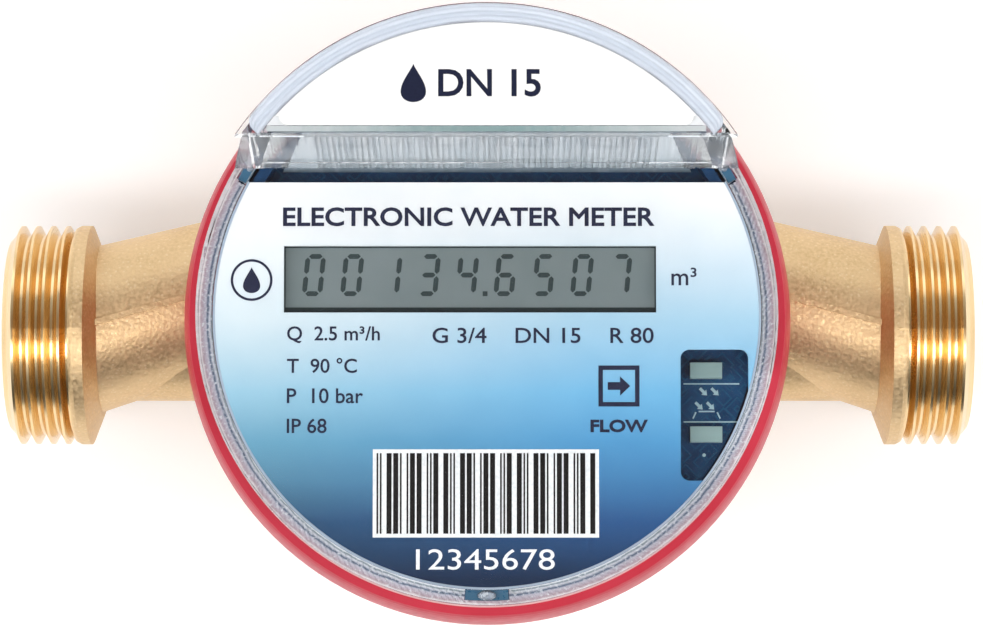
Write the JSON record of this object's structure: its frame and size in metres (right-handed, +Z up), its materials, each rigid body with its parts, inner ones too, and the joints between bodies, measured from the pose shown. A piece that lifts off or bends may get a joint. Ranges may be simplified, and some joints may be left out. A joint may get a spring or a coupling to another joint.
{
  "type": "water meter",
  "caption": "Brass single-jet hot water meter with threaded pipe ends, a spinning impeller and a register head, with red collar, clear cover and raised hood, that turns on the body.",
  "frame": {"origin": "middle of the flat foot, on the surface that the meter stands on", "axes": "+X along the pipe towards the outlet, +Y towards the hood at the top of the dial, +Z up through the dial"},
  "size_m": [0.115, 0.0696, 0.07],
  "materials": {
    "cast_brass": "sand cast, with turned ends",
    "turned_brass": "turned",
    "steel": "ground",
    "jewel": "polished stone",
    "white_plastic": "moulded",
    "grey_plastic": "moulded",
    "dark_plastic": "moulded",
    "red_plastic": "glossy",
    "clear_plastic": "clear",
    "seal_rubber": "matte",
    "circuit_board": "solder mask",
    "display_glass": "reflective display",
    "dial": "printed",
    "battery_sleeve": "sleeved",
    "white_gloss": "glossy",
    "copper": "enamelled wire",
    "metal_can": "plated",
    "chip": "moulded",
    "optical_parts": "lens"
  },
  "bodies": {
    "meter": {"meter_body": "cast_brass", "inlet_strainer": "white_plastic", "pivot_pin": "steel", "chamber_plate": "grey_plastic", "upper_bush": "white_plastic", "plate_seal": "seal_rubber", "clamp_ring": "turned_brass"},
    "rotor": {"impeller": "white_plastic", "jewel_bearing": "jewel", "impeller_axle": "steel", "coupling_disc": "steel"},
    "head": {"register_base": "dark_plastic", "collar_ring": "red_plastic", "clear_cover": "clear_plastic", "cover_seal": "seal_rubber", "cover_studs": "clear_plastic", "main_board": "circuit_board", "board_screws": "steel", "dial_support": "dark_plastic", "display_glass": "display_glass", "contact_strips": "seal_rubber", "dial_plate": "dial", "battery": "battery_sleeve", "battery_tabs": "steel", "antenna_carrier": "white_plastic", "antenna_board": "circuit_board", "name_plate": "white_gloss", "sensor_board": "circuit_board", "sensor_coils": "copper", "board_link": "turned_brass", "radio_module": "metal_can", "microcontroller": "chip", "optical_emitter": "optical_parts", "optical_receiver": "optical_parts"}
  },
  "joints": [
    {"name": "impeller_spin", "type": "hinge", "parent": "meter", "child": "rotor", "pos_m": [0, 0, 0.0155], "axis": [0, 0, 1], "continuous": true},
    {"name": "head_swivel", "type": "hinge", "parent": "meter", "child": "head", "pos_m": [0, 0, 0.0365], "axis": [0, 0, 1], "range_deg": [-175, 175]}
  ]
}
